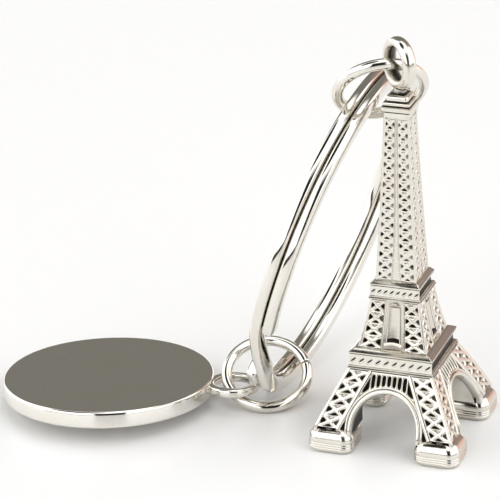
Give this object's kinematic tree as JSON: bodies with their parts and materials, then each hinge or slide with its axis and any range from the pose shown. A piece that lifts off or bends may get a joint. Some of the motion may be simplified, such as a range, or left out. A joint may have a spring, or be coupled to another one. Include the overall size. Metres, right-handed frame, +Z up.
{
  "type": "keychain",
  "caption": "Keychain with a cast lattice tower charm on four feet, a two-turn flat-wire split ring, wire jump rings and a round flat tag with an ear.",
  "frame": {"origin": "centre of the whole object's footprint, on the surface it stands and lies on", "axes": "+X along the tower's front from the tag towards the tower, +Y away from the viewer, +Z up"},
  "size_m": [0.0488, 0.0366, 0.0407],
  "materials": {
    "cast_plating": "polished nickel plate over a cast lattice relief",
    "wire_plating": "polished nickel plate on drawn wire",
    "polished_plating": "mirror-polished nickel plate"
  },
  "bodies": {
    "tower_charm": {"tower_charm": "cast_plating"},
    "tower_jump_ring": {"tower_jump_ring": "wire_plating"},
    "split_ring": {"split_ring": "wire_plating"},
    "tag_jump_ring": {"tag_jump_ring": "wire_plating"},
    "disc_tag": {"disc_tag": "polished_plating"}
  },
  "joints": [
    {"name": "eye_swing", "type": "hinge", "parent": "tower_charm", "child": "tower_jump_ring", "pos_m": [0.01634, -0.00493, 0.03785], "axis": [0.7723, 0.5939, -0.2254], "range_deg": [-4, 45]},
    {"name": "split_ring_swing", "type": "hinge", "parent": "tower_jump_ring", "child": "split_ring", "pos_m": [0.01277, -0.00336, 0.03352], "axis": [0.1025, 0.971, 0.2161], "range_deg": [-3, 60]},
    {"name": "tag_ring_slide", "type": "hinge", "parent": "split_ring", "child": "tag_jump_ring", "pos_m": [0.00799, 0.0006, 0.01802], "axis": [-0.9526, 0.0333, 0.3024], "range_deg": [-90, 90]},
    {"name": "tag_slide", "type": "hinge", "parent": "tag_jump_ring", "child": "disc_tag", "pos_m": [0.00164, -0.00292, 0.0026], "axis": [0.166, -0.4636, 0.8704], "range_deg": [-60, 3]}
  ]
}
